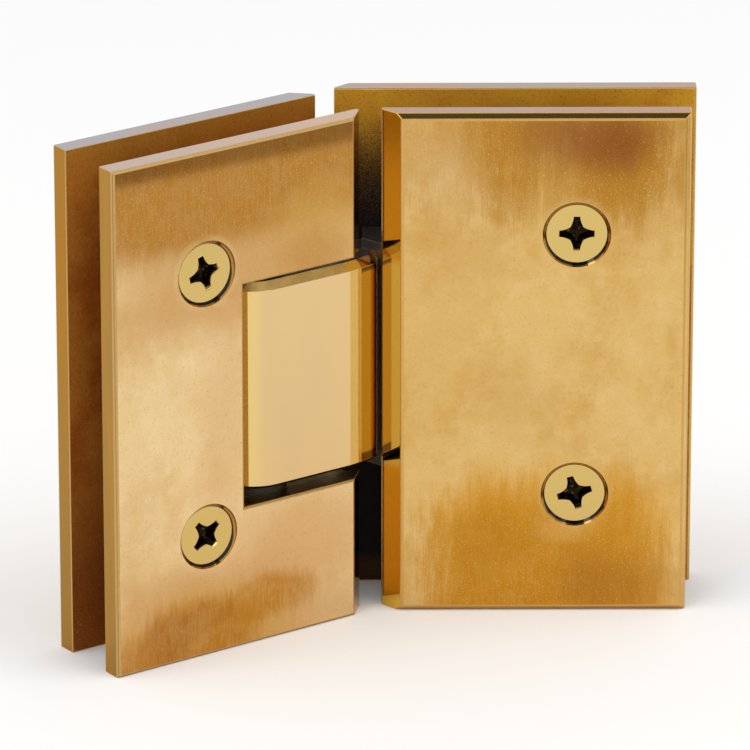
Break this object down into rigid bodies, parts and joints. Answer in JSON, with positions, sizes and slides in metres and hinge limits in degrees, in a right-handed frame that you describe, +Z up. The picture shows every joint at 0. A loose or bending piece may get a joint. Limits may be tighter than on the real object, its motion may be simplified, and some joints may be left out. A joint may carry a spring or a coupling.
{
  "type": "shower door hinge",
  "caption": "Obtuse-angle glass-to-glass shower hinge: bevelled brass clamp leaves joined by a pivot block in a notch, with a sprung detent at closed and at right angles.",
  "frame": {"origin": "on the glass-bearing face of the fixed leaf's back gasket, midway between its two clamp screws and at mid-height", "axes": "+X along the fixed pane away from the pivot, +Y out through the fixed back plate to the convex side, +Z up along the pivot axis"},
  "size_m": [0.1082, 0.0476, 0.09],
  "materials": {
    "stained_brass": "polished, heat-stained and tarnished",
    "polished_brass": "mirror polished",
    "screw_brass": "bright plated",
    "plain_brass": "machined",
    "steel": "machined stainless",
    "gasket": "matt sheet",
    "soft_plastic": "moulded",
    "bearing_plastic": "moulded"
  },
  "bodies": {
    "fixed_leaf": {"fixed_front_plate": "stained_brass", "fixed_back_plate": "stained_brass", "fixed_front_gasket": "gasket", "fixed_back_gasket": "gasket", "fixed_clamp_screws": "screw_brass", "fixed_screw_sleeves": "soft_plastic", "pivot_block": "polished_brass", "block_fixing_screws": "steel", "upper_bush": "bearing_plastic", "lower_bush": "bearing_plastic", "detent_springs": "steel", "spring_plugs": "steel"},
    "door_leaf": {"door_front_plate": "stained_brass", "door_back_plate": "stained_brass", "door_front_gasket": "gasket", "door_back_gasket": "gasket", "door_clamp_screws": "screw_brass", "door_screw_sleeves": "soft_plastic", "pivot_pin": "steel", "upper_pin_carrier": "plain_brass", "lower_pin_carrier": "plain_brass", "carrier_screws": "steel", "upper_washer": "soft_plastic", "lower_washer": "soft_plastic"},
    "detent": {"detent_bar": "steel"}
  },
  "joints": [
    {"name": "door_swing", "type": "hinge", "parent": "fixed_leaf", "child": "door_leaf", "pos_m": [-0.055, -0.01605, 0], "axis": [0, 0, 1], "range_deg": [-90, 90]},
    {"name": "detent_slide", "type": "slide", "parent": "fixed_leaf", "child": "detent", "axis": [-0.8192, -0.5736, 0], "range_m": [0, 0.0007], "stiffness_N_per_m": 300, "springref_m": 0.012}
  ]
}
